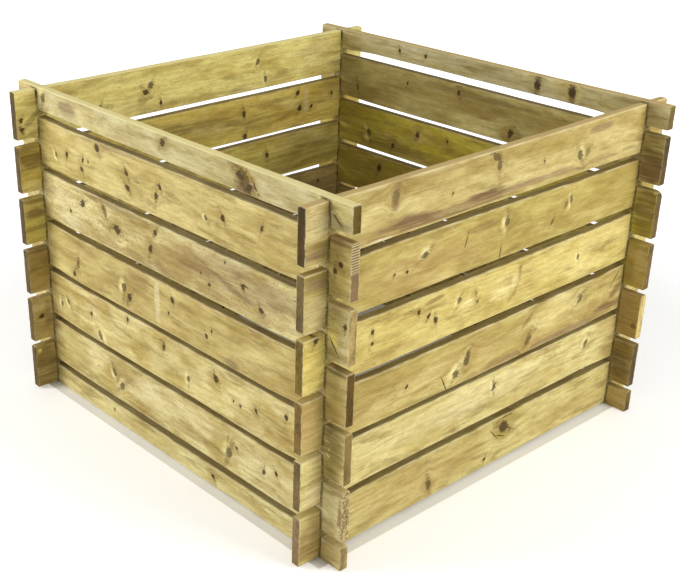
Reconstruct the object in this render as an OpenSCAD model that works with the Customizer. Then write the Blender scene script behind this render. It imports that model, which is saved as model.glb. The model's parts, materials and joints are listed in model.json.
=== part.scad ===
// Slot-together compost bin of notched boards, stacked crosswise like a log cabin.
// The front and back walls start and end with a rail, which is a board sawn in half along
// its length, so their boards sit half a pitch off those of the side walls and the notches
// lock. The bin stands on the two bottom rails, and the two top rails are its highest parts.
// The origin is on the ground in the middle of the bin. +Z is up, and the front faces -Y.

/* [Boards] */
// Length of the boards and rails of the front and back walls
front_length = 1000; // [700:10:1400]
// Length of the boards of the left and right walls
side_length = 1000; // [700:10:1400]
// Height of a full board
board_height = 102; // [80:1:140]
// Thickness of every board and rail
board_thickness = 19; // [12:1:25]
// Radius of the eased long edges
edge_radius = 2.5; // [1:0.5:4]
// Wood lost to the saw where a board is cut along its length into two rails
saw_cut = 4; // [1:0.5:6]

/* [Stacking] */
// Air gap between one board and the next one up in the same wall
air_gap = 14; // [8:1:30]

/* [Corner joints] */
// Length of the ear that a board runs past the wall that crosses it
ear_length = 52; // [30:1:80]
// Play between a notch and the crossing board, on each of its faces
notch_play = 1.5; // [0.5:0.25:3]

/* [Hidden] */
// Full boards in each wall
side_boards = 6;
front_boards = side_boards - 1;

// Stacking: a board is carried at its necks, which are half a pitch high
pitch = board_height + air_gap;
neck_height = pitch / 2;
notch_depth = (board_height - neck_height) / 2;
notch_width = board_thickness + 2 * notch_play;

// A rail is higher than two notches are deep. By that excess the side boards end above
// the ground and below the rim
rail_height = (board_height - saw_cut) / 2;
side_clearance = rail_height - 2 * notch_depth;
rim_height = (side_boards - 1) * pitch + board_height + 2 * side_clearance;

// Distance from the middle of the bin to the middle of each wall's thickness
side_wall_x = front_length / 2 - ear_length - board_thickness / 2;
front_wall_y = side_length / 2 - ear_length - board_thickness / 2;

// Flats in each eased edge, and how far a cut runs past the wood
edge_flats = 4;
cut_margin = 1;

// Treated softwood, each wall a little different
front_color = [0.80, 0.75, 0.52];
back_color = [0.66, 0.60, 0.34];
left_color = [0.70, 0.64, 0.38];
right_color = [0.84, 0.78, 0.50];
rail_color = [0.82, 0.77, 0.58];

// Outline of a board's end: a rectangle that stands on the origin, with eased corners
function eased_outline(width, height, radius) = [
    for (corner = [[1, 0, 270], [1, 1, 0], [-1, 1, 90], [-1, 0, 180]])
        let (
            centre_x = corner[0] * (width / 2 - radius),
            centre_y = corner[1] * (height - 2 * radius) + radius
        )
        for (flat = [0:edge_flats])
            let (turn = corner[2] + 90 * flat / edge_flats)
                [centre_x + radius * cos(turn), centre_y + radius * sin(turn)]
];

// A plain length of timber along X, standing on edge with its middle at the origin
module timber(length, height) {
    rotate([90, 0, 90])
        linear_extrude(length, center = true)
            polygon(eased_outline(board_thickness, height, edge_radius));
}

// The two notches in one edge of a timber, from z = bottom up to z = top
module notch_pair(crossing, bottom, top) {
    for (side = [-1, 1])
        translate([side * crossing, 0, (bottom + top) / 2])
            cube([notch_width, board_thickness + 2 * cut_margin, top - bottom], center = true);
}

// A full board: notched in both edges, with a neck left at each crossing
module full_board(length, crossing) {
    difference() {
        timber(length, board_height);
        notch_pair(crossing, -cut_margin, notch_depth);
        notch_pair(crossing, board_height - notch_depth, board_height + cut_margin);
    }
}

// A half rail: notched in its upper edge only, to stand flat on the ground
module half_rail(length, crossing) {
    difference() {
        timber(length, rail_height);
        notch_pair(crossing, rail_height - notch_depth, rail_height + cut_margin);
    }
}

// Height of the underside of a board, counted from 1 at the bottom
function side_level(number) = side_clearance + (number - 1) * pitch;
function front_level(number) = side_level(number) + neck_height;

module front_bottom_rail() {
    color(rail_color)
        translate([0, -front_wall_y, 0])
            half_rail(front_length, side_wall_x);
}

module back_bottom_rail() {
    color(back_color)
        translate([0, front_wall_y, 0])
            half_rail(front_length, side_wall_x);
}

// The top rails are the same timber turned over, with the notches down
module front_top_rail() {
    color(rail_color)
        translate([0, -front_wall_y, rim_height])
            rotate([180, 0, 0])
                half_rail(front_length, side_wall_x);
}

module back_top_rail() {
    color(rail_color)
        translate([0, front_wall_y, rim_height])
            rotate([180, 0, 0])
                half_rail(front_length, side_wall_x);
}

module front_board(number) {
    color(front_color)
        translate([0, -front_wall_y, front_level(number)])
            full_board(front_length, side_wall_x);
}

module back_board(number) {
    color(back_color)
        translate([0, front_wall_y, front_level(number)])
            full_board(front_length, side_wall_x);
}

module left_board(number) {
    color(left_color)
        translate([-side_wall_x, 0, side_level(number)])
            rotate([0, 0, 90])
                full_board(side_length, front_wall_y);
}

module right_board(number) {
    color(right_color)
        translate([side_wall_x, 0, side_level(number)])
            rotate([0, 0, 90])
                full_board(side_length, front_wall_y);
}

front_bottom_rail();
front_top_rail();
back_bottom_rail();
back_top_rail();
for (n = [1:front_boards]) {
    front_board(n);
    back_board(n);
}
for (n = [1:side_boards]) {
    left_board(n);
    right_board(n);
}
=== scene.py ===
import json
import math

import bpy
import numpy as np
from mathutils import Matrix, Vector


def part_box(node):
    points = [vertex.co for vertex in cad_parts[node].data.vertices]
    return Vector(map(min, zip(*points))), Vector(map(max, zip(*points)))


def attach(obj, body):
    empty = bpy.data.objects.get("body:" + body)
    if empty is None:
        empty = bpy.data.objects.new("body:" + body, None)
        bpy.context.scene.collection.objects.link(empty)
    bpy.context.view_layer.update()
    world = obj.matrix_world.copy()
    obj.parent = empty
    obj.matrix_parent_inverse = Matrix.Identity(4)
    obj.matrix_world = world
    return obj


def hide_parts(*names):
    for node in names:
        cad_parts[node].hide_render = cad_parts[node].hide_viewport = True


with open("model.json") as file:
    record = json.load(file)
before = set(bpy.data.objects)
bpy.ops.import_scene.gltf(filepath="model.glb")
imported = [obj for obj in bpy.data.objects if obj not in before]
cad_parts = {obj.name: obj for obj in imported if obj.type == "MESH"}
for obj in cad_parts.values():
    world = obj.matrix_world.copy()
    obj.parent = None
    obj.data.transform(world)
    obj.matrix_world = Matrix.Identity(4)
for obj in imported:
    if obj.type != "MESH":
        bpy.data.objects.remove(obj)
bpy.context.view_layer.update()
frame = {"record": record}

mm = 0.001
tiny = 1e-6        # places closer than this are the same one


def srgb(red, green, blue):
    # A colour as it looks on a screen, 0 to 255, in the linear values that Blender works with
    linear = [((c / 255 + 0.055) / 1.055) ** 2.4 if c > 10 else c / 3294 for c in (red, green, blue)]
    return (*linear, 1.0)


def addNode(tree, kind, inputs=(), **settings):
    # A socket among the inputs is linked, and any other value is set
    node = tree.nodes.new("ShaderNode" + kind)
    for name, value in settings.items():
        setattr(node, name, value)
    for key, value in inputs.items() if isinstance(inputs, dict) else enumerate(inputs):
        if isinstance(value, bpy.types.NodeSocket):
            tree.links.new(value, node.inputs[key])
        else:
            node.inputs[key].default_value = value
    return node


def calc(tree, operation, *values):
    return addNode(tree, "Math", values, operation=operation).outputs[0]


def times(tree, first, second):
    return calc(tree, "MULTIPLY", first, second)


def vectorCalc(tree, operation, *values):
    return addNode(tree, "VectorMath", values, operation=operation).outputs[0]


def lengthOf(tree, vector):
    return addNode(tree, "VectorMath", [vector], operation="LENGTH").outputs["Value"]


def fade(tree, value, start, end):
    # 0 at start and 1 at end, with soft ends; start may be the higher one
    return addNode(tree, "MapRange", {"Value": value, "From Min": start, "From Max": end},
                   interpolation_type="SMOOTHSTEP").outputs[0]


def blendColors(tree, amount, first, second, mode="MIX"):
    return addNode(tree, "Mix", {0: amount, 6: first, 7: second},
                   data_type="RGBA", blend_type=mode).outputs[2]


def noiseField(tree, vector, scales, seed, detail=2.0, roughness=0.5):
    # Noise from 0 to 1, with its own number of cells per metre along, up and through the board
    stretched = vectorCalc(tree, "MULTIPLY", vector, scales)
    return addNode(tree, "TexNoise", {"Vector": stretched, "W": seed, "Scale": 1.0, "Detail": detail,
                                      "Roughness": roughness}, noise_dimensions="4D").outputs["Fac"]


# What the sockets of the groups carry, where it isn't a plain number
socketKinds = {"Vector": "Vector", "Place": "Vector", "Size": "Vector", "Pith": "Vector",
               "Color": "Color", "Tint": "Color", "Tone": "Color"}


def newGroup(name, inputs, outputs):
    group = bpy.data.node_groups.new(name, "ShaderNodeTree")
    for way, labels in (("INPUT", inputs), ("OUTPUT", outputs)):
        for label in labels:
            kind = "NodeSocket" + socketKinds.get(label, "Float")
            group.interface.new_socket(label, in_out=way, socket_type=kind)
    return group, group.nodes.new("NodeGroupInput").outputs, group.nodes.new("NodeGroupOutput").inputs


def useGroup(tree, group, inputs):
    return addNode(tree, "Group", inputs, node_tree=group).outputs


def emptyTree(owner):
    owner.use_nodes = True
    owner.node_tree.nodes.clear()
    return owner.node_tree


def makeRaggedGroup():
    # Breaks up the outlines of knots and stains: two sizes of blotch and two of streak, and a wavering place
    tree, given, result = newGroup("timberRagged", ("Vector", "Seed"),
                                   ("Vector", "Fine", "Broad", "Hairs", "Streaks"))
    for label, scales, detail in (("Fine", (120, 200, 200), 3), ("Broad", (22, 90, 90), 4),
                                  ("Hairs", (55, 420, 420), 2), ("Streaks", (6, 190, 190), 3)):
        field = noiseField(tree, given["Vector"], scales, given["Seed"], detail, 0.6)
        field = calc(tree, "SUBTRACT", field, 0.5)
        tree.links.new(field, result[label])
        if label == "Broad":
            shift = addNode(tree, "CombineXYZ", {"Y": times(tree, field, 7 * mm)}).outputs[0]
            tree.links.new(vectorCalc(tree, "ADD", given["Vector"], shift), result["Vector"])
    return tree


def fromMiddle(tree, given):
    # Where a point lies from the middle of a knot or stain, as shares of its size along and across its tilt
    turn = addNode(tree, "CombineXYZ", {"Z": given["Tilt"]}).outputs[0]
    return addNode(tree, "Mapping", {"Vector": given["Vector"], "Location": given["Place"], "Rotation": turn,
                                     "Scale": given["Size"]}, vector_type="TEXTURE").outputs[0]


def makeKnotGroup():
    # One knot or crack: darkens a ragged core and its streaky tail, tints one side and bends the grain
    tree, given, result = newGroup(
        "timberKnot", ("Vector", "Core", "Halo", "Fine", "Broad", "Hairs", "Place", "Size", "Tilt",
                       "Darkness", "Tail", "Glow", "Reach", "Push"), ("Vector", "Core", "Halo"))
    local = fromMiddle(tree, given)

    def raggedLength(vector):
        return calc(tree, "MULTIPLY_ADD", given["Fine"], 1.8, lengthOf(tree, vector))

    middle = raggedLength(vectorCalc(tree, "MULTIPLY", local, (1, 1, 0)))
    tail = raggedLength(vectorCalc(tree, "MULTIPLY", local, (0.27, 1.1, 0)))
    tail = times(tree, fade(tree, tail, 1.1, 0.2), fade(tree, given["Hairs"], -0.1, 0.12))
    core = calc(tree, "MAXIMUM", fade(tree, middle, 1.05, 0.65), times(tree, tail, given["Tail"]))
    core = times(tree, core, given["Darkness"])
    tree.links.new(calc(tree, "MAXIMUM", given["Core"], core), result["Core"])

    beside = vectorCalc(tree, "MULTIPLY_ADD", local, (0.8, 1, 0), (0, -0.8, 0))
    tinted = times(tree, fade(tree, raggedLength(beside), given["Reach"], 0.4),
                  fade(tree, given["Broad"], -0.2, 0.08))
    tree.links.new(calc(tree, "MULTIPLY_ADD", tinted, given["Glow"], given["Halo"]), result["Halo"])

    away = vectorCalc(tree, "SUBTRACT", given["Vector"], given["Place"])
    away = vectorCalc(tree, "MULTIPLY", away, (0, 1, 0))
    pushed = times(tree, fade(tree, middle, 3.4, 0.7), given["Push"])
    bend = addNode(tree, "VectorMath", {0: away, "Scale": pushed}, operation="SCALE").outputs[0]
    tree.links.new(vectorCalc(tree, "SUBTRACT", given["Vector"], bend), result["Vector"])
    return tree


def makeGrainGroup():
    # Yearly rings round the pith of the log, cut by the board's faces, and the fine fibres along it
    tree, given, result = newGroup("timberGrain", ("Vector", "Pith", "Spacing", "Wander", "Seed"),
                                   ("Late Wood", "Fibre", "Pores"))
    space, seed = given["Vector"], given["Seed"]
    across = vectorCalc(tree, "MULTIPLY", vectorCalc(tree, "SUBTRACT", space, given["Pith"]), (0, 1, 1))
    slow = calc(tree, "SUBTRACT", noiseField(tree, space, (1.7, 7, 7), seed, 2), 0.5)
    quick = calc(tree, "SUBTRACT", noiseField(tree, space, (9, 70, 70), seed, 2), 0.5)
    radius = calc(tree, "ADD", lengthOf(tree, across), times(tree, slow, given["Wander"]))
    radius = calc(tree, "ADD", radius, times(tree, quick, 2.2 * mm))
    count = calc(tree, "DIVIDE", radius, given["Spacing"])
    share = calc(tree, "FRACT", count)
    ring = times(tree, fade(tree, share, 0.25, 0.9), fade(tree, share, 1.0, 0.9))
    year = addNode(tree, "TexWhiteNoise", {"W": calc(tree, "ADD", calc(tree, "FLOOR", count), seed)},
                   noise_dimensions="1D").outputs["Value"]
    late = times(tree, ring, calc(tree, "MULTIPLY_ADD", year, 0.8, 0.2))
    tree.links.new(late, result["Late Wood"])
    fibre = noiseField(tree, space, (7, 260, 260), seed, 3, 0.6)
    tree.links.new(fade(tree, fibre, 0.3, 0.75), result["Fibre"])
    pores = noiseField(tree, space, (28, 1100, 1100), seed, 2, 0.5)
    tree.links.new(fade(tree, pores, 0.4, 0.7), result["Pores"])
    return tree


# How unevenly the boards took up the green preservative, and the grime and specks on them: cells of noise
# per metre along, up and through, shift of the seed, detail, roughness, and where the noise fades in
uptakes = {
    "Tan": ((2.8, 22, 22), 9.1, 3, 0.6, 0.47, 0.72),
    "Pale": ((6, 26, 26), 13.7, 3, 0.6, 0.5, 0.7),
    "Smudge": ((8, 46, 46), 21.1, 4, 0.65, 0.5, 0.66),
    "Clouds": ((8, 17, 17), 37.9, 3, 0.6, 0.44, 0.62),
    "Mottle": ((24, 120, 120), 29.3, 4, 0.7, 0.6, 0.36),
    "Specks": ((150, 300, 300), 17.9, 2, 0.6, 0.57, 0.67),
}


def makeTreatmentGroup():
    tree, given, result = newGroup("timberTreatment", ("Vector", "Seed"), ("Olive", *uptakes))

    def field(scales, shift, detail=3, roughness=0.6):
        seed = calc(tree, "ADD", given["Seed"], shift)
        return noiseField(tree, given["Vector"], scales, seed, detail, roughness)

    patches, streaks = field((3.5, 15, 15), 0), field((2.2, 75, 75), 5.3)
    both = calc(tree, "MULTIPLY_ADD", streaks, 0.55, times(tree, patches, 0.45))
    tree.links.new(fade(tree, both, 0.42, 0.66), result["Olive"])
    for label, (*noise, start, end) in uptakes.items():
        tree.links.new(fade(tree, field(*noise), start, end), result[label])
    return tree


def makeStainGroup():
    # A patch of another colour with a ragged, streaky edge
    tree, given, result = newGroup("timberStain", ("Color", "Vector", "Broad", "Streaks", "Place", "Size",
                                                   "Tilt", "Tint", "Amount"), ("Color",))
    flat = vectorCalc(tree, "MULTIPLY", fromMiddle(tree, given), (1, 1, 0))
    reach = calc(tree, "MULTIPLY_ADD", given["Broad"], 1.6, lengthOf(tree, flat))
    amount = times(tree, fade(tree, reach, 1.25, 0.5), given["Amount"])
    amount = times(tree, amount, fade(tree, given["Streaks"], -0.35, 0.1))
    tree.links.new(blendColors(tree, amount, given["Color"], given["Tint"]), result["Color"])
    return tree


def makeSawnEndGroup():
    # End grain: soaks up dirt and turns brown, with ring arcs, saw marks and short checks
    tree, given, result = newGroup("timberSawnEnd", ("Vector", "Late Wood", "Saw Angle", "Tone", "Seed"),
                                   ("Color", "Height"))
    space, seed = given["Vector"], given["Seed"]
    mottle = noiseField(tree, space, (60, 95, 210), seed, 4, 0.68)
    turn = addNode(tree, "VectorRotate", {"Vector": space, "Axis": (1, 0, 0), "Angle": given["Saw Angle"]},
                   rotation_type="AXIS_ANGLE").outputs[0]
    saw = noiseField(tree, turn, (0, 620, 18), seed, 2, 0.6)
    checks = fade(tree, noiseField(tree, space, (0, 190, 45), seed, 3, 0.7), 0.62, 0.7)
    damp = noiseField(tree, space, (0, 16, 45), seed, 2)
    light = calc(tree, "MULTIPLY_ADD", fade(tree, damp, 0.36, 0.62), 0.55, times(tree, saw, 0.25))
    light = calc(tree, "MULTIPLY_ADD", fade(tree, mottle, 0.38, 0.62), 0.45, light)
    light = calc(tree, "MULTIPLY_ADD", given["Late Wood"], -0.2, light)
    dark = blendColors(tree, 1.0, given["Tone"], (0.5, 0.47, 0.38, 1), "MULTIPLY")
    pale = blendColors(tree, 1.0, given["Tone"], (1.42, 1.38, 1.3, 1), "MULTIPLY")
    color = blendColors(tree, addNode(tree, "Clamp", [light]).outputs[0], dark, pale)
    color = blendColors(tree, times(tree, checks, 0.75), color, srgb(48, 37, 22))
    tree.links.new(color, result["Color"])
    height = calc(tree, "MULTIPLY_ADD", saw, 0.8, times(tree, mottle, 0.6))
    tree.links.new(calc(tree, "SUBTRACT", height, checks), result["Height"])
    return tree


def makeArrisGroup():
    # Paler wood along the edges: bare from knocks and handling, and partly a painted highlight
    tree, given, result = newGroup("timberArris", ("Color", "Vector", "WornAndSheen", "Tint", "Seed"), ("Color",))
    patchy = noiseField(tree, given["Vector"], (16, 60, 60), given["Seed"], 3, 0.6)
    amount = times(tree, given["WornAndSheen"], fade(tree, patchy, 0.34, 0.62))
    tree.links.new(blendColors(tree, times(tree, amount, 0.7), given["Color"], given["Tint"]),
                   result["Color"])
    return tree


raggedGroup, knotGroup, grainGroup = makeRaggedGroup(), makeKnotGroup(), makeGrainGroup()
treatmentGroup, stainGroup = makeTreatmentGroup(), makeStainGroup()
sawnEndGroup, arrisGroup = makeSawnEndGroup(), makeArrisGroup()
print("node groups made")

# Tints; the one for the gaps, (92, 73, 32), is painted shade on the upper edges between the boards
tints = {name: srgb(*tone) for name, tone in {
    "olive": (176, 158, 82), "deepOlive": (128, 112, 52), "ochre": (150, 128, 58), "tan": (196, 168, 108),
    "brown": (142, 112, 68), "umber": (92, 74, 38), "purple": (142, 118, 88), "plum": (116, 90, 62),
    "pale": (242, 228, 158), "cream": (232, 220, 172), "bright": (240, 222, 120),
    "core": (64, 46, 20), "halo": (158, 134, 70), "late": (206, 186, 128), "gapShade": (92, 73, 32),
    "smudge": (144, 125, 66), "mottle": (196, 178, 140), "cloud": (216, 205, 172),
}.items()}

# Stretch along the tilt, darkness of the core, strength of the tail, tint beside it (below 0 it is paler)
# and how far that goes, and bend of the grain
knotKinds = {
    "pin": (1.2, 0.95, 0.6, 0.45, 2.6, 0.5),
    "knot": (1.3, 0.92, 0.75, 0.55, 3.0, 0.8),
    "swirl": (1.4, 0.8, 0.9, -0.75, 2.0, 0.8),
    "smear": (2.2, 0.7, 0.8, 0.5, 2.6, 0.4),
    "faint": (1.4, 0.5, 0.9, 0.5, 3.0, 0.8),
    "crack": (12.0, 0.9, 0.2, 0.2, 2.0, 0.0),
}

# What the boards of a wall share: the strength of their pale arrises, bare wood with a painted highlight that
# is weaker on the shaded back and left walls, and the tones of their sawn ends, left or near end first, where
# None stands for the board's own tone
walls = {
    "front": {"arris": 1.0, "ends": ((112, 91, 50), None)},
    "back": {"arris": 0.45, "ends": ((120, 99, 58), None)},
    "left": {"arris": 0.45, "ends": ((88, 71, 40), (126, 106, 64))},
    "right": {"arris": 1.0, "ends": (None, (126, 106, 64))},
}

# Stains that cover a whole ear are partly end-grain uptake and partly painted shade on the ears that stand in
# shade.
# The look of each board. Lengths are in mm: along from its left or near end, down from its upper edge.
# A knot is (kind, along, down, radius) and, where it leans, the degrees.
# A stain is (tint, along, down, half length, half height, amount) and degrees.
# Edges stand out by (lower at the near end, lower at the far end, upper near, upper far).
# Ends are 0 near and 1 far, in corners as (end, edge, size) and torn as (end, depth). Ridges are (from this
# height up, spacing, depth), and dents are (along, down, half length, half height, depth).
boardLooks = {}
boardLooks["front_bottom_rail"] = dict(
    ground=(232, 222, 163), olive=0.35, tan=0.3, rings=3.4, pith=(60, -30), sawn=(150, 130, 88),
    edges=(0, 0, -3, -1),
    knots=[("pin", 300, 20, 3), ("knot", 640, 24, 6)],
    stains=[("tan", 975, 20, 40, 24, 0.5)])
boardLooks["front_board_1"] = dict(
    ground=(233, 221, 164), olive=0.4, tan=0.25, clouds=0.95, rings=4.6, pith=(48, -46), sawn=(162, 140, 96),
    edges=(2, 2, -1, -1), torn=[(1, 2.6)],
    knots=[("swirl", 307, 42, 8), ("swirl", 333, 65, 9, 40), ("swirl", 690, 62, 10, 70),
        ("crack", 687, 40, 1.2, 84), ("pin", 713, 45, 4), ("knot", 793, 55, 5), ("pin", 827, 42, 5),
        ("crack", 250, 52, 1, 3)],
    stains=[("cream", 520, 30, 160, 30, 0.35), ("olive", 160, 50, 60, 50, 0.5),
        ("cream", 965, 50, 26, 60, 0.3), ("purple", 995, 60, 6, 44, 0.7), ("cream", 993, 84, 5, 12, 0.8),
        ("brown", 330, 40, 60, 24, 0.35), ("cream", 420, 40, 40, 30, 0.4), ("cream", 760, 50, 50, 24, 0.4),
        ("brown", 560, 70, 60, 16, 0.3)])
boardLooks["front_board_2"] = dict(
    ground=(231, 218, 158), olive=0.45, tan=0.3, clouds=0.9, rings=3.6, pith=(20, -38), sawn=(118, 100, 54),
    edges=(4, 5, 0, 0),
    knots=[("pin", 365, 13, 5), ("crack", 480, 17, 1, -2), ("knot", 488, 28, 6), ("knot", 653, 32, 8),
        ("pin", 853, 28, 6), ("knot", 770, 52, 5), ("pin", 705, 58, 3), ("pin", 725, 60, 3),
        ("pin", 230, 48, 5), ("swirl", 140, 52, 6), ("swirl", 113, 65, 6), ("swirl", 260, 87, 8, -50),
        ("swirl", 567, 68, 6)],
    stains=[("deepOlive", 973, 45, 26, 60, 0.6), ("umber", 956, 8, 16, 9, 0.6),
        ("bright", 958, 28, 6, 2, 1.0), ("bright", 963, 42, 4, 3, 1.0, 40),
        ("bright", 961, 56, 5, 2, 0.9, -30), ("olive", 110, 60, 70, 60, 0.4)])
boardLooks["front_board_3"] = dict(
    ground=(207, 190, 127), olive=0.5, tan=0.5, rings=4.2, pith=(70, -34), sawn=(83, 62, 16),
    edges=(5, 6, -3, -3),
    knots=[("pin", 523, 30, 7), ("pin", 510, 62, 3), ("knot", 627, 68, 5), ("pin", 643, 52, 3),
        ("knot", 378, 74, 8, 50), ("swirl", 360, 60, 9), ("knot", 173, 88, 6, 60), ("smear", 190, 62, 6)],
    stains=[("brown", 413, 30, 45, 30, 0.45), ("cream", 473, 45, 10, 50, 0.6),
        ("purple", 700, 92, 22, 10, 0.6), ("brown", 770, 5, 20, 12, 0.6), ("brown", 220, 20, 60, 14, 0.3),
        ("olive", 973, 70, 26, 50, 0.5), ("umber", 973, 4, 30, 6, 0.7)])
boardLooks["front_board_4"] = dict(
    ground=(226, 215, 161), olive=0.45, tan=0.45, clouds=0.8, specks=0.9, rings=3.3, pith=(35, -28),
    sawn=(158, 138, 88), edges=(4, 4, -3, -3),
    knots=[("knot", 223, 33, 8, 30), ("smear", 300, 25, 8), ("knot", 343, 55, 11, -20),
        ("knot", 472, 22, 7, 60), ("knot", 455, 62, 8), ("pin", 175, 62, 4), ("pin", 683, 15, 3),
        ("knot", 733, 48, 5), ("crack", 740, 46, 1.2, 8), ("knot", 783, 75, 7), ("pin", 637, 75, 4),
        ("pin", 612, 60, 2.5), ("knot", 991, 31, 5), ("crack", 966, 74, 1.6, -52)],
    stains=[("cream", 170, 80, 40, 16, 0.7), ("purple", 720, 40, 190, 40, 0.4),
        ("brown", 560, 60, 120, 20, 0.35), ("plum", 330, 8, 160, 9, 0.5), ("cream", 991, 42, 7, 6, 0.9),
        ("bright", 972, 69, 3, 6, 1.0), ("bright", 962, 44, 20, 34, 0.5),
        ("deepOlive", 966, 16, 22, 14, 0.35), ("ochre", 960, 56, 20, 50, 0.2),
        ("purple", 480, 90, 300, 9, 0.3), ("bright", 965, 62, 10, 16, 0.5),
        ("plum", 700, 60, 90, 7, 0.4, -14), ("cream", 150, 40, 30, 24, 0.4)])
boardLooks["front_board_5"] = dict(
    ground=(217, 201, 136), olive=0.4, tan=0.3, rings=4.0, pith=(55, -52), sawn=(150, 128, 84),
    edges=(3, 3, -4, 3), ridges=(50, 4.6, 0.9),
    knots=[("knot", 287, 15, 9), ("pin", 175, 57, 6), ("swirl", 133, 67, 5), ("pin", 233, 55, 5),
        ("knot", 228, 75, 6), ("pin", 253, 52, 3), ("knot", 385, 42, 6), ("knot", 387, 72, 7, -40),
        ("pin", 493, 42, 6), ("knot", 480, 63, 7), ("pin", 679, 49, 7), ("knot", 784, 38, 5, 70),
        ("swirl", 630, 62, 5), ("crack", 418, 52, 1, 2), ("pin", 976, 41, 5.5), ("pin", 964, 56, 6)],
    stains=[("purple", 330, 4, 130, 7, 0.5), ("olive", 110, 55, 60, 60, 0.4),
        ("ochre", 973, 50, 30, 64, 0.55), ("bright", 973, 60, 26, 44, 0.15), ("brown", 973, 4, 30, 7, 0.7)])
boardLooks["front_top_rail"] = dict(
    rim="pale", ground=(214, 205, 158), olive=0.35, tan=0.25, rings=3.2, pith=(80, -24), sawn=(87, 68, 16),
    edges=(0, 3, 0, 0),
    knots=[("knot", 507, 16, 8, 50), ("knot", 726, 20, 10, -30), ("knot", 750, 33, 8, -25),
        ("smear", 740, 28, 9, -32), ("swirl", 96, 20, 9), ("pin", 70, 12, 5), ("crack", 765, 30, 1.2, -30),
        ("swirl", 935, 12, 7)],
    stains=[("purple", 187, 22, 34, 16, 0.65), ("plum", 742, 30, 28, 12, 0.8),
        ("deepOlive", 715, 14, 16, 14, 0.6), ("ochre", 973, 25, 30, 30, 0.15),
        ("bright", 975, 16, 24, 20, 0.3), ("pale", 975, 26, 15, 5, 0.9, -37),
        ("umber", 967, 33, 15, 2.6, 0.9, -37)])
boardLooks["back_bottom_rail"] = dict(
    ground=(196, 178, 112), olive=0.5, tan=0.4, rings=3.8, pith=(70, -20), sawn=(100, 84, 46),
    edges=(0, 0, 4, 4),
    knots=[("knot", 240, 18, 7), ("pin", 590, 25, 4)],
    stains=[("tan", 978, 25, 26, 30, 0.5)])
boardLooks["back_board_1"] = dict(
    ground=(192, 172, 104), olive=0.6, tan=0.4, rings=4.4, pith=(30, -40), sawn=(84, 67, 40),
    edges=(4, 4, 3, 3),
    knots=[("knot", 170, 44, 9), ("knot", 520, 28, 6), ("swirl", 770, 62, 8), ("pin", 850, 30, 4)],
    stains=[("umber", 978, 50, 32, 64, 0.52), ("plum", 970, 60, 20, 40, 0.4)])
boardLooks["back_board_2"] = dict(
    ground=(188, 168, 98), olive=0.6, tan=0.5, rings=3.7, pith=(66, -28), sawn=(186, 166, 108),
    edges=(3, 3, 2, 2),
    knots=[("knot", 330, 55, 9), ("pin", 450, 20, 4), ("pin", 610, 70, 5), ("knot", 900, 36, 7)],
    stains=[("umber", 990, 72, 7, 10, 0.75), ("brown", 975, 50, 30, 64, 0.33),
        ("purple", 520, 90, 220, 9, 0.4)])
boardLooks["back_board_3"] = dict(
    ground=(171, 155, 59), outside=(190, 172, 106), olive=0.8, tan=0.4, rings=4.8, pith=(40, -60),
    sawn=(112, 92, 50), edges=(2, 2, 1, 1),
    knots=[("knot", 220, 30, 8), ("pin", 400, 52, 5), ("knot", 690, 48, 8)],
    stains=[("tan", 980, 50, 30, 64, 0.3), ("cream", 984, 40, 16, 34, 0.2), ("brown", 962, 66, 10, 30, 0.3)])
boardLooks["back_board_4"] = dict(
    ground=(204, 193, 70), outside=(198, 182, 114), olive=0.8, tan=0.35, rings=4.2, pith=(62, -44),
    sawn=(92, 75, 38), edges=(2, 2, 1, 1), corners=[(1, "top", 13)],
    knots=[("swirl", 180, 62, 9), ("knot", 343, 32, 7), ("pin", 437, 27, 4), ("knot", 263, 77, 6)],
    stains=[("umber", 978, 50, 32, 64, 0.55), ("deepOlive", 240, 80, 120, 22, 0.6)])
boardLooks["back_board_5"] = dict(
    ground=(189, 178, 117), outside=(194, 177, 112), olive=0.6, tan=0.3, rings=3.0, pith=(18, -34),
    sawn=(80, 63, 32), edges=(2, 2, 0, 0),
    knots=[("knot", 617, 80, 9), ("smear", 135, 72, 5), ("pin", 300, 30, 4), ("knot", 460, 20, 6)],
    stains=[("umber", 978, 50, 32, 64, 0.6), ("plum", 975, 76, 34, 30, 0.6),
        ("deepOlive", 480, 34, 300, 30, 0.3), ("umber", 520, 18, 180, 9, 0.35),
        ("deepOlive", 150, 75, 70, 22, 0.5), ("deepOlive", 620, 84, 40, 14, 0.6)])
boardLooks["back_top_rail"] = dict(
    rim="tan", ground=(205, 199, 158), outside=(204, 190, 136), olive=0.5, tan=0.25, rings=3.3,
    pith=(50, -26), sawn=(96, 80, 40), edges=(-4, -5, 0, 0),
    knots=[("knot", 677, 22, 10, 80), ("knot", 767, 20, 11, 100), ("pin", 270, 20, 5), ("pin", 353, 18, 5)],
    stains=[("umber", 677, 24, 8, 22, 0.5), ("umber", 768, 24, 9, 24, 0.5),
        ("deepOlive", 560, 22, 260, 18, 0.25)])
boardLooks["left_board_1"] = dict(
    ground=(196, 176, 108), olive=0.5, tan=0.4, rings=4.0, pith=(45, -50), edges=(0, 0, 3.5, 3.5),
    knots=[("knot", 260, 42, 8), ("pin", 540, 66, 5), ("swirl", 730, 36, 8)],
    stains=[("umber", 24, 60, 34, 64, 0.44), ("bright", 9, 12, 5, 5, 0.8)])
boardLooks["left_board_2"] = dict(
    ground=(214, 194, 128), olive=0.5, tan=0.5, rings=3.4, pith=(75, -30), edges=(3.5, 3.5, 3, 3),
    knots=[("knot", 22, 44, 6, 30), ("pin", 180, 30, 5), ("knot", 470, 50, 9), ("pin", 640, 24, 4),
        ("knot", 820, 70, 7)],
    stains=[("brown", 20, 70, 34, 16, 0.3), ("cream", 16, 22, 22, 16, 0.3), ("plum", 38, 40, 9, 40, 0.3)])
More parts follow.
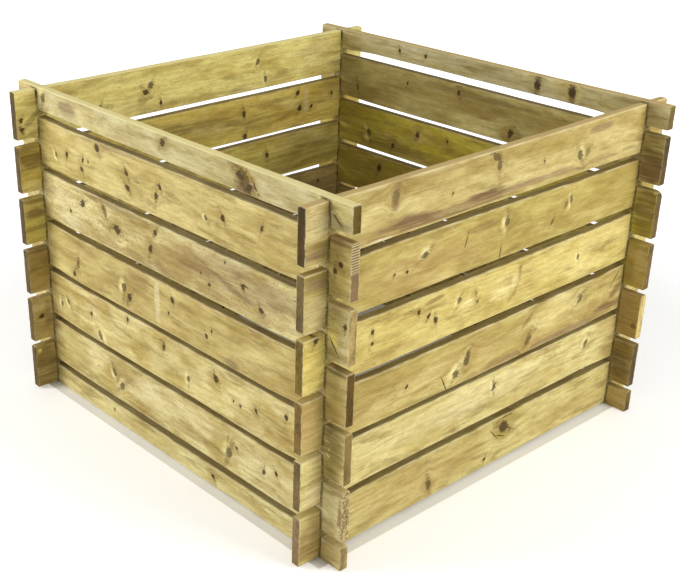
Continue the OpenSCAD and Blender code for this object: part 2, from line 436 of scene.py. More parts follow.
boardLooks["left_board_3"] = dict(
    ground=(190, 166, 104), olive=0.5, tan=0.45, rings=4.6, pith=(25, -42), edges=(3, 3, 2, 1),
    knots=[("knot", 610, 40, 9), ("knot", 720, 60, 7), ("pin", 860, 30, 5), ("smear", 400, 62, 8)],
    stains=[("purple", 700, 50, 260, 50, 0.6), ("umber", 640, 60, 120, 40, 0.3),
        ("deepOlive", 26, 24, 30, 16, 0.3), ("olive", 26, 70, 30, 26, 0.4), ("umber", 24, 5, 34, 7, 0.5)])
boardLooks["left_board_4"] = dict(
    ground=(239, 223, 120), outside=(206, 188, 120), olive=0.75, tan=0.3, rings=3.9, pith=(58, -36),
    edges=(2, 1, 2, 2),
    knots=[("knot", 683, 40, 6), ("pin", 420, 66, 4), ("swirl", 240, 34, 7)],
    stains=[("plum", 26, 34, 24, 14, 0.6), ("deepOlive", 24, 60, 34, 56, 0.2), ("umber", 24, 5, 34, 7, 0.5),
        ("deepOlive", 780, 60, 200, 40, 0.4)])
boardLooks["left_board_5"] = dict(
    ground=(242, 220, 116), outside=(200, 182, 116), olive=0.5, tan=0.3, rings=3.2, pith=(38, -30),
    edges=(3, 2, 0, 0),
    knots=[("pin", 783, 17, 7), ("pin", 790, 57, 8, 60), ("pin", 830, 60, 5), ("knot", 610, 40, 7),
        ("knot", 613, 93, 7), ("pin", 900, 37, 4), ("knot", 300, 50, 6)],
    stains=[("umber", 24, 24, 34, 28, 0.5), ("pale", 20, 86, 30, 12, 0.4),
        ("deepOlive", 500, 56, 340, 34, 0.3), ("umber", 420, 40, 160, 12, 0.3),
        ("cream", 812, 40, 8, 40, 0.35)])
boardLooks["left_board_6"] = dict(
    rim="pale", ground=(254, 242, 152), outside=(210, 194, 130), olive=0.25, tan=0.2, smudge=0.45, rings=4.4,
    pith=(52, -48), edges=(2, 1, 0, 0),
    knots=[("knot", 327, 54, 7, -45), ("swirl", 340, 42, 8), ("pin", 367, 83, 5), ("swirl", 653, 37, 7),
        ("swirl", 677, 80, 6), ("knot", 12, 60, 5), ("knot", 12, 78, 6), ("smear", 205, 70, 5)],
    stains=[("deepOlive", 36, 62, 28, 8, 0.5, 40), ("pale", 850, 40, 60, 40, 0.5),
        ("deepOlive", 320, 66, 14, 20, 0.5, -50)])
# The deep olive strip along the upper edge above the dent is a painted shadow from the board above.
boardLooks["right_board_1"] = dict(
    ground=(221, 209, 141), olive=0.35, tan=0.45, rings=5.0, pith=(40, -70), sawn=(126, 107, 76),
    edges=(0, 0, 3, 2), dents=[(560, 26, 36, 22, 1.6)],
    knots=[("crack", 534, 34, 1.6, -48), ("crack", 572, 6, 1.6, 3), ("crack", 582, 36, 1.6, -28),
        ("crack", 558, 46, 1.4, -20), ("pin", 510, 83, 5), ("smear", 340, 70, 8), ("knot", 565, 28, 14, -30)],
    stains=[("olive", 560, 26, 38, 22, 0.75), ("purple", 340, 71, 24, 10, 0.5),
        ("deepOlive", 570, 5, 26, 5, 0.9), ("brown", 24, 55, 34, 50, 0.6), ("tan", 300, 50, 200, 50, 0.35)])
boardLooks["right_board_2"] = dict(
    ground=(232, 220, 154), olive=0.3, tan=0.2, rings=4.4, pith=(85, -40), sawn=(110, 92, 58),
    edges=(-3, -3, 2, 2),
    knots=[("swirl", 517, 33, 6), ("crack", 517, 33, 1.1, 20), ("crack", 515, 34, 1, 110),
        ("swirl", 820, 35, 7)],
    stains=[("deepOlive", 920, 70, 40, 36, 0.4), ("tan", 920, 40, 50, 60, 0.4),
        ("cream", 420, 40, 260, 30, 0.3), ("cream", 40, 78, 34, 20, 0.6)])
boardLooks["right_board_3"] = dict(
    ground=(205, 187, 120), olive=0.6, tan=0.45, rings=3.6, pith=(22, -36), sawn=(112, 90, 42),
    edges=(3, 4, -4, -3),
    knots=[("pin", 259, 58, 4), ("faint", 430, 50, 6), ("swirl", 424, 56, 9), ("crack", 363, 87, 1.6, -60),
        ("swirl", 395, 77, 9), ("faint", 773, 27, 6, 50), ("swirl", 778, 34, 9, 40),
        ("smear", 613, 77, 6, 40), ("faint", 613, 74, 9), ("crack", 900, 23, 1.8, 50)],
    stains=[("olive", 420, 22, 260, 22, 0.45), ("olive", 560, 60, 60, 50, 0.35),
        ("pale", 690, 30, 70, 36, 0.5, 20), ("purple", 680, 94, 260, 7, 0.6), ("plum", 884, 82, 46, 9, 0.8),
        ("plum", 908, 52, 10, 26, 0.5, -50), ("deepOlive", 608, 28, 6, 32, 0.5, -48),
        ("pale", 392, 76, 28, 10, 0.6), ("tan", 20, 60, 30, 60, 0.6)])
boardLooks["right_board_4"] = dict(
    ground=(227, 211, 131), olive=0.3, tan=0.3, rings=4.2, pith=(60, -44), sawn=(116, 95, 38),
    edges=(4, 3, -3, -2),
    knots=[("pin", 163, 33, 5), ("pin", 163, 55, 4), ("pin", 280, 31, 4.5), ("pin", 307, 47, 6),
        ("pin", 327, 60, 7), ("swirl", 390, 40, 6), ("faint", 437, 40, 5), ("pin", 443, 57, 4),
        ("swirl", 752, 50, 5), ("knot", 29, 5, 6), ("crack", 260, 20, 1, 2)],
    stains=[("bright", 26, 50, 40, 64, 0.4), ("brown", 317, 17, 34, 6, 0.7, 6),
        ("brown", 560, 48, 7, 34, 0.6, -12), ("brown", 542, 80, 14, 5, 0.5, 35),
        ("pale", 413, 53, 24, 14, 0.9), ("pale", 507, 60, 34, 16, 0.7), ("pale", 553, 47, 12, 20, 0.5)])
boardLooks["right_board_5"] = dict(
    ground=(192, 175, 100), olive=0.5, tan=0.5, rings=3.8, pith=(72, -32), sawn=(99, 83, 49),
    edges=(1, 1, 6, -1),
    knots=[("crack", 396, 40, 1.6, 75), ("crack", 497, 90, 1.6, 85), ("swirl", 287, 38, 7, 30),
        ("swirl", 510, 32, 8), ("faint", 690, 40, 6, 60), ("swirl", 705, 34, 6), ("smear", 650, 67, 4),
        ("pin", 242, 58, 4), ("pin", 210, 55, 3)],
    stains=[("cream", 26, 70, 40, 36, 0.35), ("brown", 443, 26, 52, 8, 0.6),
        ("brown", 290, 34, 22, 5, 0.5, 20), ("olive", 800, 50, 200, 60, 0.4), ("tan", 300, 60, 200, 40, 0.4),
        ("purple", 26, 22, 30, 13, 0.6)])
boardLooks["right_board_6"] = dict(
    rim="tan", ground=(203, 186, 124), olive=0.5, tan=0.3, rings=3.4, pith=(42, -38), sawn=(71, 53, 12),
    edges=(-1, -2, 0, 0),
    knots=[("faint", 203, 29, 11, 75), ("smear", 460, 12, 8, -35), ("smear", 470, 26, 7), ("pin", 347, 55, 3),
        ("pin", 603, 50, 3), ("swirl", 716, 62, 9, -60), ("faint", 740, 60, 7, 50)],
    stains=[("cream", 26, 34, 40, 30, 0.35), ("purple", 203, 29, 11, 12, 0.6),
        ("purple", 776, 18, 48, 11, 0.6), ("purple", 520, 84, 410, 8, 0.6), ("plum", 245, 81, 72, 11, 0.7),
        ("plum", 440, 81, 60, 11, 0.8), ("plum", 330, 94, 200, 4, 0.6), ("cream", 172, 98, 46, 3, 0.8),
        ("purple", 24, 84, 32, 9, 0.75), ("brown", 280, 8, 160, 5, 0.35), ("olive", 640, 26, 120, 16, 0.5),
        ("brown", 922, 68, 20, 8, 0.5)])


# What all boards share, where a board's own look has no other value
sharedLook = {
    "pale": 0.6, "smudge": 0.6, "clouds": 0.6, "specks": 0.35,      # cover of the treatment and the dirt
    "mottle": 0.4, "lateWood": 0.5, "fibre": 0.16, "pores": 0.12,   # cover of the grain
    "stainGain": 1.3,                 # all amounts of the stains times this
    "grime": 0.65,                    # cover of the painted shade beside the crossings
    "rimLightCover": 0.8,                  # cover of the painted light on the rim's upper edge
    "gapShadeCover": (0.25, 0.65),      # cover of the painted shade on the upper edge in the gaps: at the ears, between the crossings
    "outsideDepth": (7 * mm, 12 * mm),   # where the outside's own tone starts to fade, and is gone; further in, the ground carries painted light and shade of the bin's inside
    "wander": 22 * mm,                # how far the yearly rings stray
    "bump": (0.8, 0.6 * mm),          # strength and depth
    "roughness": (0.68, 0.86),
    "specular": 0.22,
}
# Saw ridges on an end: where a sine wave is a valley, and the height over which they fade in
ridgeValley, ridgeStart = (0.4, -0.6), 6 * mm


def timberMaterial(name, look, length, height, seed):
    # The whole finish of one board, from the shared effects and its own look
    look = {**sharedLook, **look}
    material = bpy.data.materials.new(name + "_softwood")
    tree = emptyTree(material)
    space = addNode(tree, "Attribute", attribute_name="boardSpace").outputs["Vector"]
    wornAndSheen = addNode(tree, "Attribute", attribute_name="wornAndSheen").outputs["Fac"]
    cutEnd = addNode(tree, "Attribute", attribute_name="cutEnd").outputs["Fac"]
    along, up, through = addNode(tree, "SeparateXYZ", [space]).outputs
    ragged = useGroup(tree, raggedGroup, {"Vector": space, "Seed": seed})
    wall = walls[name.split("_")[0]]

    def spot(position, down, halfLong, halfHigh, degrees):
        return {"Place": (position * mm, height - down * mm, 0), "Size": (halfLong * mm, halfHigh * mm, 1),
                "Tilt": math.radians(degrees), "Broad": ragged["Broad"]}

    def layer(mask, strength, color, tint):
        return blendColors(tree, times(tree, mask, strength), color, tints[tint])

    def deepen(mask, strength, color, tint):
        deeper = blendColors(tree, 1.0, color, tints[tint], "MULTIPLY")
        return blendColors(tree, times(tree, mask, strength), color, deeper)

    def clamped(value):
        return addNode(tree, "Clamp", [value]).outputs[0]

    bent, core, halo = ragged["Vector"], 0.0, 0.0
    for number, (kind, position, down, radius, *tilt) in enumerate(look["knots"]):
        stretch, darkness, tail, glow, reach, push = knotKinds[kind]
        lean = tilt[0] if tilt else 0 if kind == "crack" else 50 + (41 * number + 17 * seed) % 80
        bent, core, halo = useGroup(tree, knotGroup, {
            **spot(position, down, radius * stretch, radius, lean), "Vector": bent, "Core": core,
            "Halo": halo, "Fine": ragged["Fine"], "Hairs": ragged["Hairs"], "Darkness": darkness,
            "Tail": tail, "Glow": glow, "Reach": reach, "Push": push})
    pithUp, pithDeep = look["pith"]
    grain = useGroup(tree, grainGroup, {
        "Vector": bent, "Pith": (0, pithUp * mm, pithDeep * mm), "Spacing": look["rings"] * mm,
        "Wander": look["wander"], "Seed": seed})
    uptake = useGroup(tree, treatmentGroup, {"Vector": bent, "Seed": seed})

    color = srgb(*look["ground"])
    # On a board with an outside tone, the ground on the inner face carries painted light and shade from
    # inside the bin
    if "outside" in look:
        near, far = look["outsideDepth"]
        color = blendColors(tree, fade(tree, through, far, near), color, srgb(*look["outside"]))
    color = layer(uptake["Olive"], look["olive"], color, "olive")
    color = layer(uptake["Tan"], look["tan"], color, "tan")
    color = layer(uptake["Pale"], look["pale"], color, "pale")
    color = layer(uptake["Smudge"], look["smudge"], color, "smudge")
    color = deepen(uptake["Clouds"], look["clouds"], color, "cloud")
    for tint, position, down, halfLong, halfHigh, amount, *tilt in look["stains"]:
        color = useGroup(tree, stainGroup, {
            **spot(position, down, halfLong, halfHigh, tilt[0] if tilt else 0), "Color": color,
            "Vector": bent, "Streaks": ragged["Streaks"], "Tint": tints[tint],
            "Amount": min(1.0, look["stainGain"] * amount)})["Color"]
    color = deepen(uptake["Mottle"], look["mottle"], color, "mottle")
    lines = times(tree, grain["Late Wood"], fade(tree, ragged["Broad"], -0.2, 0.12))
    color = deepen(lines, look["lateWood"], color, "late")
    color = layer(grain["Fibre"], look["fibre"], color, "halo")
    color = layer(grain["Pores"], look["pores"], color, "brown")
    color = layer(uptake["Specks"], look["specks"], color, "brown")
    color = blendColors(tree, clamped(times(tree, halo, -1.0)), color, tints["pale"])
    color = blendColors(tree, clamped(halo), color, tints["halo"])
    color = blendColors(tree, core, color, tints["core"])

    # Painted shade beside the crossings, and on the upper edge: painted light on the rim, painted shade in
    # the gaps
    fromEnd = calc(tree, "MINIMUM", along, calc(tree, "SUBTRACT", length, along))
    fromNotch = calc(tree, "ABSOLUTE", calc(tree, "SUBTRACT", fromEnd, joinery["notchFromEnd"]))
    fromNotch = calc(tree, "SUBTRACT", fromNotch, joinery["notchWidth"] / 2)
    grime = calc(tree, "MULTIPLY_ADD", fade(tree, ragged["Fine"], -0.12, 0.1), 0.7, 0.3)
    grime = times(tree, fade(tree, fromNotch, 3.4 * mm, 0.4 * mm), grime)
    color = layer(grime, look["grime"], color, "umber")
    upperEdge = fade(tree, up, height - 1.6 * mm, height - 0.4 * mm)
    if "rim" in look:
        # painted light and shade on the rim's upper edge, in the board's rim tint
        color = layer(upperEdge, look["rimLightCover"], color, look["rim"])
    else:
        # painted shade on the upper edge in the gaps, more between the crossings than at the ears
        inGap = fade(tree, fromEnd, joinery["notchFromEnd"], joinery["notchFromEnd"] + 15 * mm)
        atEars, between = look["gapShadeCover"]
        cover = calc(tree, "MULTIPLY_ADD", inGap, between - atEars, atEars)
        color = layer(upperEdge, cover, color, "gapShade")

    nearEnd, farEnd = (srgb(*(tone or look["sawn"])) for tone in wall["ends"])
    onFarEnd = calc(tree, "GREATER_THAN", along, length / 2)
    sawn = useGroup(tree, sawnEndGroup, {
        "Vector": space, "Late Wood": grain["Late Wood"], "Saw Angle": 0.4 * seed, "Seed": seed,
        "Tone": blendColors(tree, onFarEnd, nearEnd, farEnd)})
    sawnColor = sawn["Color"]
    if "ridges" in look:
        bottom, period, _ = (value * mm for value in look["ridges"])
        wave = calc(tree, "SINE", times(tree, up, 2 * math.pi / period))
        valley = times(tree, fade(tree, wave, *ridgeValley), fade(tree, up, bottom, bottom + ridgeStart))
        sawnColor = layer(fade(tree, up, bottom - 4 * mm, bottom + 4 * mm), 0.3, sawnColor, "cream")
        # painted shade in the valleys of the saw ridges on the far end
        sawnColor = layer(times(tree, valley, onFarEnd), 0.85, sawnColor, "umber")
        sawnColor = layer(fade(tree, up, bottom + 4 * mm, bottom - 4 * mm), 0.75, sawnColor, "plum")
    if "torn" in look:
        sawnColor = layer(fade(tree, ragged["Fine"], 0.02, 0.12), 0.6, sawnColor, "cream")
        sawnColor = layer(fade(tree, ragged["Fine"], -0.01, -0.1), 0.8, sawnColor, "umber")
    color = blendColors(tree, cutEnd, color, sawnColor)
    # pale edges: bare wood, and partly a painted highlight
    color = useGroup(tree, arrisGroup, {"Color": color, "Vector": space, "Tint": tints["cream"], "Seed": seed,
                                        "WornAndSheen": times(tree, wornAndSheen, wall["arris"])})["Color"]

    lumps = calc(tree, "MULTIPLY_ADD", grain["Late Wood"], 0.35, times(tree, grain["Fibre"], -0.3))
    lumps = calc(tree, "MULTIPLY_ADD", grain["Pores"], -0.12, lumps)
    lumps = calc(tree, "MULTIPLY_ADD", core, -0.5, lumps)
    relief = addNode(tree, "Mix", {0: cutEnd, 2: lumps, 3: sawn["Height"]}).outputs[0]
    strength, distance = look["bump"]
    bump = addNode(tree, "Bump", {"Strength": strength, "Distance": distance, "Height": relief}).outputs[0]
    low, high = look["roughness"]
    rough = addNode(tree, "MapRange", {"Value": grain["Fibre"], "To Min": low, "To Max": high}).outputs[0]
    shader = addNode(tree, "BsdfPrincipled", {"Base Color": color, "Roughness": rough, "Normal": bump,
                                              "Specular IOR Level": look["specular"]})
    addNode(tree, "OutputMaterial", {"Surface": shader.outputs[0]})
    return material


joinery = {
    "notchFromEnd": 61.5 * mm,    # end of the board to the middle of a notch
    "notchWidth": 22 * mm,
    "notchDepth": 22 * mm,
    "arris": 2.5 * mm,            # radius of the eased long edges
}

meshDetail = {
    "stepAlong": 5 * mm,
    "stepUp": 3.6 * mm,
    "stepThrough": 2.8 * mm,
    "atCuts": (0.7 * mm, 1.8 * mm),
    "atArris": (0.6 * mm, 1.25 * mm, 1.9 * mm, 2.6 * mm, 4 * mm),
    "sharpFrom": 40,              # degrees between two faces
}

wear = {
    "arrisExtra": 1.6 * mm,       # how much wider than planned an arris gets
    "arrisCell": 90 * mm,
    "endEdge": (0.7 * mm, 1.9 * mm),
    "endCorner": (1 * mm, 3.5 * mm),
    "endCell": 6 * mm,
    "notchEdge": 0.9 * mm,
    "freeSpan": (75 * mm, 200 * mm),   # from the ends: where an edge starts to wander, and wanders in full
    "edgeWave": 0.9 * mm,         # how far the long edges wander inwards
    "edgeCell": 130 * mm,
    "edgeReach": 30 * mm,
    "bow": 1.3 * mm,
    "cup": 0.35 * mm,
    "sawnEnd": 0.5 * mm,
    "sawnCell": 4 * mm,
    "tornCell": 8 * mm,
    "dentCell": 9 * mm,
    "wornSheenArris": (0, 3.4 * mm),   # pale edges, bare wood with a painted highlight: on the long edges, and on the edges and corners of the ends
    "wornSheenEndEdge": (0.2 * mm, 1.9 * mm),
    "wornSheenEndCorner": (0.2 * mm, 2.4 * mm),
}


def gridLines(length, stops, step):
    # Positions from 0 to length: each stop's own lines, and in between no two more than a step apart
    marks = {0.0, length}
    for stop, offsets in stops:
        marks |= {round(stop + side * offset, 6) for offset in (0, *offsets) for side in (-1, 1)}
    marks = sorted(m for m in marks if 0 <= m <= length)
    lines = [length]
    for start, end in zip(marks, marks[1:]):
        count = max(1, math.ceil((end - start) / step - tiny))
        lines += [start + (end - start) * k / count for k in range(count)]
    return np.array(sorted(lines))


def softNoise(rng, cell, *axes):
    # Smooth noise from 0 to 1 with one random value in each cell
    repeat = 64    # cells until the pattern comes again
    table = rng.random([repeat] * len(axes))
    scaled = [np.asarray(axis) / cell for axis in axes]
    base = [np.floor(s).astype(int) for s in scaled]
    blend = [(s - b) ** 2 * (3 - 2 * (s - b)) for s, b in zip(scaled, base)]
    total = 0
    for corner in np.ndindex(*[2] * len(axes)):
        weight = np.prod([f if c else 1 - f for f, c in zip(blend, corner)], axis=0)
        total = total + weight * table[tuple((b + c) % repeat for b, c in zip(base, corner))]
    return total


def smooth(value, start, end):
    share = np.clip((value - start) / (end - start), 0, 1)
    return share * share * (3 - 2 * share)


def easeCorner(first, second, radius):
    # Two depths below two faces that meet: the square corner within the radius becomes an arc
    a, b = 1 - first / radius, 1 - second / radius
    inside = (a > 0) & (b > 0)
    reach = np.where(inside, np.maximum(a, b), 1)
    angle = math.pi / 4 * np.where(inside, np.minimum(a, b), 0) / reach
    wide, narrow = reach * np.cos(angle), reach * np.sin(angle)
    newA, newB = np.where(a >= b, wide, narrow), np.where(a >= b, narrow, wide)
    return np.where(inside, radius * (1 - newA), first), np.where(inside, radius * (1 - newB), second)


def easeBoth(first, second, width, lowRadius, highRadius):
    # Eases the corners of one face with the two faces that lie at 0 and at width in the other direction
    first, second = easeCorner(first, second, lowRadius)
    first, second = easeCorner(first, width - second, highRadius)
    return first, width - second


def latticeSkin(solid):
    # Quads round the solid cells, facing outwards, as numbers of lattice corners, and the axis each faces
    corner = np.arange(np.prod(np.array(solid.shape) + 1)).reshape(np.array(solid.shape) + 1)
    quads, facing = [], []
    for axis in range(3):
        padded = np.moveaxis(np.pad(solid, [(1, 1) if a == axis else (0, 0) for a in range(3)]), axis, 0)
        change = padded[1:].astype(int) - padded[:-1]
        grid = np.moveaxis(corner, axis, 0)
        for sign in (1, -1):
            i, a, b = np.nonzero(change == sign)
            ring = np.stack([grid[i, a, b], grid[i, a + 1, b], grid[i, a + 1, b + 1], grid[i, a, b + 1]], 1)
            quads.append(ring[:, ::-1] if (sign == 1) != (axis == 1) else ring)
            facing.append(np.full(len(ring), axis))
    return np.concatenate(quads), np.concatenate(facing)


def notchesOf(name, length, height):
    # (from, to) along the board and (from, to) up it for each notch
    half = joinery["notchWidth"] / 2
    low, high = (0, joinery["notchDepth"]), (height - joinery["notchDepth"], height)
    edges = {"bottom_rail": [high], "top_rail": [low]}.get(name.split("_", 1)[1], [low, high])
    middles = (joinery["notchFromEnd"], length - joinery["notchFromEnd"])
    return [((middle - half, middle + half), edge) for middle in middles for edge in edges]


def wearBoard(points, size, notches, look, rng):
    # Takes wood away from the true board: eased arrises, worn ends, wandering edges, dents, and a slight bow
    length, height, thickness = size
    u, v, w = points.T.copy()
    u0, v0, w0 = points.T
    grown = joinery["arris"] + wear["arrisExtra"] * softNoise(rng, wear["arrisCell"], u0) ** 2
    for top in (False, True):
        up, w = easeBoth(height - v if top else v, w, thickness, grown, grown)
        v = height - up if top else up
    low, high = wear["endEdge"]
    cornerLow, cornerHigh = wear["endCorner"]
    for end in (0, 1):
        along = length - u if end else u
        radius = low + (high - low) * softNoise(rng, wear["endCell"], v0, w0)
        along, w = easeBoth(along, w, thickness, radius, radius)
        cuts = {edge: reach * mm for which, edge, reach in look.get("corners", []) if which == end}
        cuts = [np.maximum(radius, cuts.get(edge, rng.uniform(cornerLow, cornerHigh)))
                for edge in ("bottom", "top")]
        along, v = easeBoth(along, v, height, *cuts)
        onEnd = np.abs(u0 - (length if end else 0)) < tiny
        rough = wear["sawnEnd"] * softNoise(rng, wear["sawnCell"], v0, w0)
        for which, depth in look.get("torn", []):
            if which == end:
                rough = rough + depth * mm * softNoise(rng, wear["tornCell"], v0, w0) ** 2
        if end and "ridges" in look:
            bottom, period, depth = (value * mm for value in look["ridges"])
            valley = smooth(np.sin(2 * math.pi * v0 / period), *ridgeValley)
            rough = rough + depth * valley * smooth(v0, bottom, bottom + ridgeStart)
        along = along + np.where(onEnd, rough, 0)
        u = length - along if end else along
    for (start, stop), (bottom, upper) in notches:
        for wall, away in ((start, -1), (stop, 1)):
            floor, inside = (upper, -2 * mm) if bottom == 0 else (bottom, 2 * mm)
            radius = np.maximum(wear["notchEdge"] * smooth(v0, floor, floor + inside), tiny)
            beside = (u - wall) * away
            close = (beside > -tiny) & (beside < 2 * mm)
            gap, deep = easeBoth(np.maximum(beside, 0), w, thickness, radius, radius)
            u, w = np.where(close, wall + away * gap, u), np.where(close, deep, w)
    fixed, free = wear["freeSpan"]
    span = smooth(u0, fixed, free) * smooth(u0, length - fixed, length - free)
    sag = np.sin(np.pi * np.clip((u0 - fixed) / (length - 2 * fixed), 0, 1)) ** 2
    edge = min(wear["edgeReach"], height / 2)
    atTop, atFoot = span * smooth(v0, height - edge, height), span * smooth(v0, edge, 0)
    v = v - wear["edgeWave"] * softNoise(rng, wear["edgeCell"], u0) * atTop
    v = v + wear["edgeWave"] * softNoise(rng, wear["edgeCell"], u0) * atFoot
    lowNear, lowFar, topNear, topFar = (reach * mm for reach in look["edges"])
    far = u0 / length
    v = v + (topNear + (topFar - topNear) * far) * atTop - (lowNear + (lowFar - lowNear) * far) * atFoot
    w = w + wear["bow"] * rng.uniform(-1, 1) * sag
    w = w + wear["cup"] * rng.uniform(-1, 1) * sag * (2 * v0 / height - 1) ** 2
    for along, down, halfLong, halfHigh, depth in look.get("dents", []):
        reach = np.hypot((u0 - along * mm) / (halfLong * mm), (v0 - height + down * mm) / (halfHigh * mm))
        reach = reach + 0.5 * (softNoise(rng, wear["dentCell"], u0, v0) - 0.5)
        w = w + depth * mm * smooth(reach, 1.1, 0.8) * smooth(w0, thickness / 2, 0)
    return np.stack([u, v, w], 1)


def edgeMasks(points, size, notches):
    # How near each point is to an edge that wears and takes a painted highlight, and whether it lies on a
    # cross cut
    u, v, w = points.T
    fromEnd, fromEdge, fromFace = (np.minimum(place, full - place) for place, full in zip((u, v, w), size))
    wornAndSheen = 1 - smooth(np.hypot(fromEdge, fromFace), *wear["wornSheenArris"])
    wornAndSheen = np.maximum(wornAndSheen, 1 - smooth(np.hypot(fromEnd, fromFace), *wear["wornSheenEndEdge"]))
    wornAndSheen = np.maximum(wornAndSheen, 1 - smooth(np.hypot(fromEnd, fromEdge), *wear["wornSheenEndCorner"]))
    cut = fromEnd < tiny
    for (start, stop), (bottom, upper) in notches:
        onWall = (np.abs(u - start) < tiny) | (np.abs(u - stop) < tiny)
        cut |= onWall & (v > bottom - tiny) & (v < upper + tiny)
    return wornAndSheen, cut.astype(float)


def bakeLayout(points, quads, facing, size, notches):
    # A flat place for each face in one square: the long sides in two half-length strips each, then cuts
    length, height, thickness = size
    gap = 3 * mm
    square = max(4 * height + 5 * thickness + 10 * gap, length / 2 + 2 * gap)
    corners = points[quads]
    middle = corners.mean(1)
    farHalf = middle[:, 0] > length / 2
    upperHalf, innerHalf = middle[:, 1] > height / 2, middle[:, 2] > thickness / 2
    across = corners[:, :, 0] - np.where(farHalf, length / 2, 0)[:, None] + gap
    onWide = facing == 2
    row = np.where(onWide, (2 * innerHalf + farHalf) * (height + gap),
                   4 * (height + gap) + (2 * upperHalf + farHalf) * (thickness + gap)) + gap
    up = np.where(onWide[:, None], corners[:, :, 1], corners[:, :, 2])
    cutRow = 4 * (height + gap) + 4 * (thickness + gap) + gap
    slotStart = gap
    planes = [(0, 0, height), (length, 0, height)]
    planes += [(side, bottom, upper) for sides, (bottom, upper) in notches for side in sides]
    for wall, bottom, upper in planes:
        here = (facing == 0) & (np.abs(middle[:, 0] - wall) < tiny)
        here &= (middle[:, 1] > bottom) & (middle[:, 1] < upper)
        across[here] = corners[here][:, :, 1] - bottom + slotStart
        row[here] = cutRow
        slotStart += upper - bottom + gap
    return np.stack([across, up + row[:, None]], -1).reshape(-1, 2) / square


def boardAxes(name, low, high):
    # Where a board's own zero corner is, and its directions along, up and inwards through the wall
    wall = name.split("_")[0]
    along = Vector((1, 0, 0)) if wall in ("front", "back") else Vector((0, 1, 0))
    inwards = {"front": Vector((0, 1, 0)), "back": Vector((0, -1, 0)),
               "left": Vector((1, 0, 0)), "right": Vector((-1, 0, 0))}[wall]
    origin = Vector([high[i] if inwards[i] < 0 else low[i] for i in range(3)])
    return origin, along, Vector((0, 0, 1)), inwards


def makeBoard(name, look, seed):
    rng = np.random.default_rng(seed)
    low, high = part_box(name)
    origin, along, up, inwards = boardAxes(name, low, high)
    size = [abs((high - low).dot(axis)) for axis in (along, up, inwards)]
    length, height, thickness = size
    notches = notchesOf(name, length, height)
    cuts, arris = meshDetail["atCuts"], meshDetail["atArris"]
    linesU = gridLines(length, [(0, cuts), (length, cuts), (length / 2, ())]
                       + [(side, cuts) for sides, _ in notches for side in sides], meshDetail["stepAlong"])
    stopsV = [(0, arris), (height, arris)]
    stopsV += [(floor, cuts[:1]) for _, edge in notches for floor in edge if 0 < floor < height]
    if "ridges" in look:
        bottom, period, _ = look["ridges"]
        stopsV += [(mark * mm, ()) for mark in np.arange(bottom, height / mm, period / 4)]
    linesV = gridLines(height, stopsV, meshDetail["stepUp"])
    linesW = gridLines(thickness, [(0, arris[:-1]), (thickness, arris[:-1])], meshDetail["stepThrough"])
    middleU, middleV = (linesU[1:] + linesU[:-1]) / 2, (linesV[1:] + linesV[:-1]) / 2
    solid = np.ones((len(middleU), len(middleV), len(linesW) - 1), bool)
    for (start, stop), (bottom, upper) in notches:
        inU, inV = (middleU > start) & (middleU < stop), (middleV > bottom) & (middleV < upper)
        solid[np.ix_(inU, inV)] = False
    quads, facing = latticeSkin(solid)
    used, quads = np.unique(quads, return_inverse=True)
    quads = quads.reshape(-1, 4)
    i, j, k = np.unravel_index(used, (len(linesU), len(linesV), len(linesW)))
    points = np.stack([linesU[i], linesV[j], linesW[k]], 1)

    shaped = wearBoard(points, size, notches, look, rng)
    world = np.array(origin) + shaped @ np.array([along, up, inwards])
    order = quads[:, ::-1] if along.cross(up).dot(inwards) < 0 else quads
    mesh = bpy.data.meshes.new(name + "_timber")
    mesh.from_pydata(world.tolist(), [], order.tolist())
    mesh.shade_smooth()
    mesh.set_sharp_from_angle(angle=math.radians(meshDetail["sharpFrom"]))
    wornAndSheen, cutEnd = edgeMasks(points, size, notches)
    for label, kind, field, values in (("boardSpace", "FLOAT_VECTOR", "vector", points),
                                       ("wornAndSheen", "FLOAT", "value", wornAndSheen),
                                       ("cutEnd", "FLOAT", "value", cutEnd)):
        masks = mesh.attributes.new(label, kind, "POINT").data
        masks.foreach_set(field, values.astype(np.float32).ravel())
    layout = bakeLayout(points, order, facing, size, notches)
    mesh.uv_layers.new(name="OFBake").data.foreach_set("uv", layout.astype(np.float32).ravel())
    board = bpy.data.objects.new(name + "_timber", mesh)
    bpy.context.scene.collection.objects.link(board)
    mesh.materials.append(timberMaterial(name, look, length, height, float(seed)))
    return board


bodyOf = {node: body for body, nodes in frame["record"]["behaviour"]["bodies"].items() for node in nodes}
for number, (name, look) in enumerate(boardLooks.items()):
    board = makeBoard(name, look, 11 + 7 * number)
    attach(board, bodyOf[name])
    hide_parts(name)
print("boards made:", len(boardLooks))

studio = {
    "fill": 0.5,                      # world light on the bin
    "floor": (238, 238, 236),
    "floorSize": 80,
    "floorLift": 0.3,                 # makes the bare floor plain white for the camera
    "farLift": 0.9,                   # the same where the lamps don't reach
    "farFrom": (1.0, 2.4),
    "binHalf": 0.47,                  # the floor inside the bin stays unlifted
}
# name: place, aim, side of the square lamp, watts
lamps = {
    "leftSoftbox": ((-1.7, -2.9, 1.5), (-0.1, -0.45, 0.3), 1.5, 70),
    "rightSoftbox": ((3.0, 0.7, 1.5), (0.45, 0.05, 0.35), 1.5, 61),
    "frontSoftbox": ((1.6, -1.6, 2.6), (0, 0, 0.4), 1.4, 3),
}
cameraSetup = {
    "place": (1.7234, -1.6908, 1.3336),
    "turn": 48.628,                   # degrees left of +Y
    "down": 25.889,
    "roll": 0.457,
    "lens": 63.669,
    "shift": (0.1000, 0.0471),
}


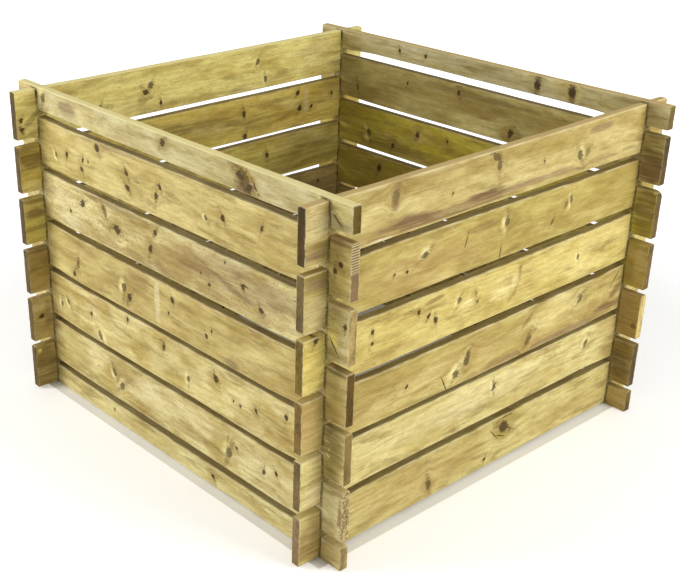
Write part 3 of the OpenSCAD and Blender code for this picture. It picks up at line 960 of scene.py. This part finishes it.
def whiteForCamera(tree):
    # 1 for the rays that show a backdrop, 0 for the rays that light the bin
    path = addNode(tree, "LightPath").outputs
    seen = calc(tree, "MAXIMUM", path["Is Camera Ray"], path["Is Glossy Ray"])
    return calc(tree, "MAXIMUM", seen, path["Is Transmission Ray"])


def makeWorld():
    world = bpy.data.worlds.new("studioWorld")
    bpy.context.scene.world = world
    tree = emptyTree(world)
    light = addNode(tree, "Background", {"Color": (1, 1, 1, 1), "Strength": studio["fill"]}).outputs[0]
    white = addNode(tree, "Background", {"Color": (1, 1, 1, 1), "Strength": 1.0}).outputs[0]
    both = addNode(tree, "MixShader", {0: whiteForCamera(tree), 1: light, 2: white}).outputs[0]
    addNode(tree, "OutputWorld", {"Surface": both})


def makeFloor():
    bpy.ops.mesh.primitive_plane_add(size=studio["floorSize"])
    floor = bpy.context.object
    floor.name = "studioFloor"
    material = bpy.data.materials.new("paleFloor")
    tree = emptyTree(material)
    paper = addNode(tree, "BsdfDiffuse", {"Color": srgb(*studio["floor"])}).outputs[0]
    place = addNode(tree, "NewGeometry").outputs["Position"]
    side, depth, _ = addNode(tree, "SeparateXYZ", [vectorCalc(tree, "ABSOLUTE", place)]).outputs
    outside = calc(tree, "GREATER_THAN", calc(tree, "MAXIMUM", side, depth), studio["binHalf"])
    lift = addNode(tree, "MapRange", {"Value": lengthOf(tree, place), "From Min": studio["farFrom"][0],
                                      "From Max": studio["farFrom"][1], "To Min": studio["floorLift"],
                                      "To Max": studio["farLift"]}).outputs[0]
    lift = times(tree, times(tree, lift, outside), whiteForCamera(tree))
    glow = addNode(tree, "Emission", {"Color": (1, 1, 1, 1), "Strength": lift}).outputs[0]
    addNode(tree, "OutputMaterial", {"Surface": addNode(tree, "AddShader", [paper, glow]).outputs[0]})
    floor.data.materials.append(material)


def makeLamp(name, place, aim, side, watts):
    light = bpy.data.lights.new(name, "AREA")
    light.size = side
    light.energy = watts
    lamp = bpy.data.objects.new(name, light)
    lamp.location = place
    lamp.rotation_euler = (Vector(aim) - Vector(place)).to_track_quat("-Z", "Y").to_euler()
    bpy.context.scene.collection.objects.link(lamp)


def makeCamera():
    camera = bpy.data.objects.new("camera", bpy.data.cameras.new("camera"))
    bpy.context.scene.collection.objects.link(camera)
    bpy.context.scene.camera = camera
    turn, down, roll = (math.radians(cameraSetup[key]) for key in ("turn", "down", "roll"))
    camera.matrix_world = (Matrix.Translation(cameraSetup["place"]) @ Matrix.Rotation(turn, 4, "Z")
                           @ Matrix.Rotation(math.pi / 2 - down, 4, "X") @ Matrix.Rotation(roll, 4, "Z"))
    camera.data.sensor_width = 36
    camera.data.lens = cameraSetup["lens"]
    camera.data.shift_x, camera.data.shift_y = cameraSetup["shift"]
    camera.data.clip_start, camera.data.clip_end = 0.05, 200


makeWorld()
makeFloor()
for name, (place, aim, side, watts) in lamps.items():
    makeLamp(name, place, aim, side, watts)
makeCamera()
bpy.context.scene.view_settings.view_transform = "Standard"
print("studio made")
